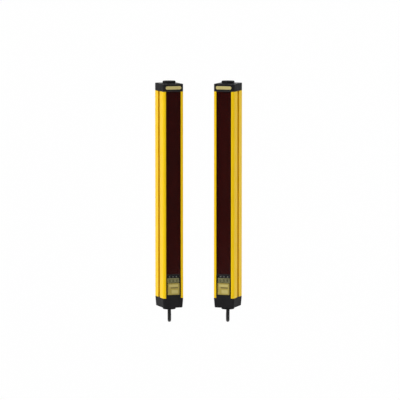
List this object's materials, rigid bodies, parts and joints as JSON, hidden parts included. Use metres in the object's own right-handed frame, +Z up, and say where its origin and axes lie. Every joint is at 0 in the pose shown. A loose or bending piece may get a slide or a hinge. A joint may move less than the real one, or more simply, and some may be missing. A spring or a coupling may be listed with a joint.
{
  "type": "safety light curtain",
  "caption": "Emitter and receiver bars of a machine light curtain: yellow extrusions with dark windows, black end caps and pigtail cables.",
  "frame": {"origin": "centre of the end face of the emitter's lower pivot boss", "axes": "+Z up along the bars, +X from emitter to receiver, +Y to the back, away from the windows"},
  "size_m": [0.1448, 0.0628, 0.4067],
  "materials": {
    "yellow_coat": "satin powder coat",
    "window_red": "polished dark red",
    "cap_black": "fine moulded grain",
    "seal_black": "matt",
    "cover_smoke": "polished smoked",
    "label_yellow": "printed film",
    "badge_cream": "satin",
    "display_grey": "moulded",
    "lamp_clear": "clear",
    "board_green": "solder mask",
    "board_black": "black solder mask",
    "lens_clear": "clear optical",
    "carrier_black": "matt",
    "device_clear": "clear epoxy",
    "cable_black": "satin jacket",
    "clip_black": "moulded",
    "connector_black": "moulded",
    "nut_nickel": "nickel plated",
    "pin_gold": "gold plated",
    "screw_steel": "zinc plated"
  },
  "bodies": {
    "root": {"emitter_housing": "yellow_coat", "emitter_window": "window_red", "emitter_window_seals": "seal_black", "emitter_access_cover": "cover_smoke", "emitter_access_cover_seal": "seal_black", "emitter_label_plate": "label_yellow", "emitter_display_module": "display_grey", "emitter_status_leds": "lamp_clear", "emitter_status_board": "board_black", "emitter_top_cap": "cap_black", "emitter_bottom_cap": "cap_black", "emitter_top_gasket": "seal_black", "emitter_bottom_gasket": "seal_black", "emitter_top_cap_screws": "screw_steel", "emitter_bottom_cap_screws": "screw_steel", "emitter_badge": "badge_cream", "emitter_lens_strip": "lens_clear", "emitter_optics_carrier": "carrier_black", "emitter_optics_board": "board_green", "emitter_beam_leds": "device_clear", "emitter_control_board": "board_green", "emitter_cable_gland": "seal_black", "emitter_cable": "cable_black", "emitter_cable_clips": "clip_black", "emitter_connector_body": "connector_black", "emitter_connector_pins": "pin_gold", "receiver_housing": "yellow_coat", "receiver_window": "window_red", "receiver_window_seals": "seal_black", "receiver_access_cover": "cover_smoke", "receiver_access_cover_seal": "seal_black", "receiver_label_plate": "label_yellow", "receiver_display_module": "display_grey", "receiver_status_leds": "lamp_clear", "receiver_status_board": "board_black", "receiver_top_cap": "cap_black", "receiver_bottom_cap": "cap_black", "receiver_top_gasket": "seal_black", "receiver_bottom_gasket": "seal_black", "receiver_top_cap_screws": "screw_steel", "receiver_bottom_cap_screws": "screw_steel", "receiver_badge": "badge_cream", "receiver_lens_strip": "lens_clear", "receiver_optics_carrier": "carrier_black", "receiver_optics_board": "board_green", "receiver_photodiodes": "device_clear", "receiver_control_board": "board_green", "receiver_cable_gland": "seal_black", "receiver_cable": "cable_black", "receiver_cable_clips": "clip_black", "receiver_connector_body": "connector_black", "receiver_connector_pins": "pin_gold"},
    "emitter_nut": {"emitter_connector_nut": "nut_nickel"},
    "receiver_nut": {"receiver_connector_nut": "nut_nickel"}
  },
  "joints": [
    {"name": "emitter_nut_turn", "type": "hinge", "parent": "root", "child": "emitter_nut", "pos_m": [-0.01005, 0.0287, 0.28], "axis": [0, 0, 1], "continuous": true},
    {"name": "receiver_nut_turn", "type": "hinge", "parent": "root", "child": "receiver_nut", "pos_m": [0.10805, 0.0287, 0.28], "axis": [0, 0, 1], "continuous": true}
  ]
}
